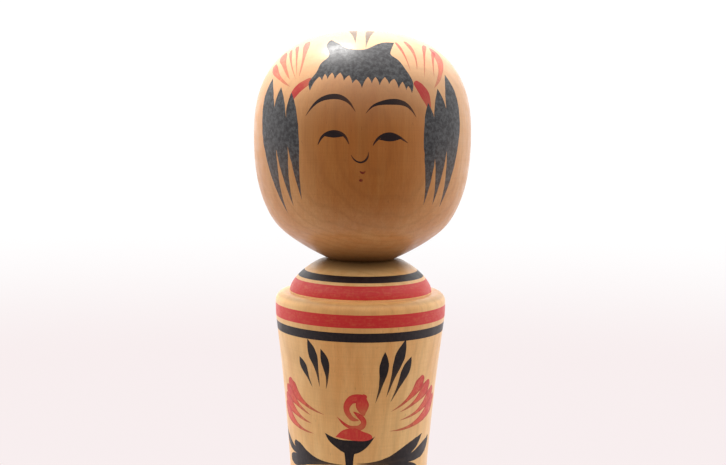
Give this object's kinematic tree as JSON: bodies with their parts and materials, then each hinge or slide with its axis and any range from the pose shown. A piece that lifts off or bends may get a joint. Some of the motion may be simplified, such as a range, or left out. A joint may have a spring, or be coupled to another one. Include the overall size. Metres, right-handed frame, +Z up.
{
  "type": "kokeshi doll",
  "caption": "Turned wooden kokeshi doll: a large rounded head on a domed, waisted body. The head turns on a captive tenon in the neck.",
  "frame": {"origin": "centre of the flat base, on the surface the doll stands on", "axes": "+Z up along the lathe axis, the painted face towards -Y"},
  "size_m": [0.0786, 0.0786, 0.242],
  "materials": {
    "head_wood": "aged pale wood, waxed on the lathe, with painted face and hair",
    "body_wood": "aged pale wood, waxed on the lathe, with painted rings and flowers"
  },
  "bodies": {
    "body": {"body": "body_wood"},
    "head": {"head": "head_wood"}
  },
  "joints": [
    {"name": "head_turn", "type": "hinge", "parent": "body", "child": "head", "pos_m": [0, 0, 0.15], "axis": [0, 0, 1], "continuous": true}
  ]
}
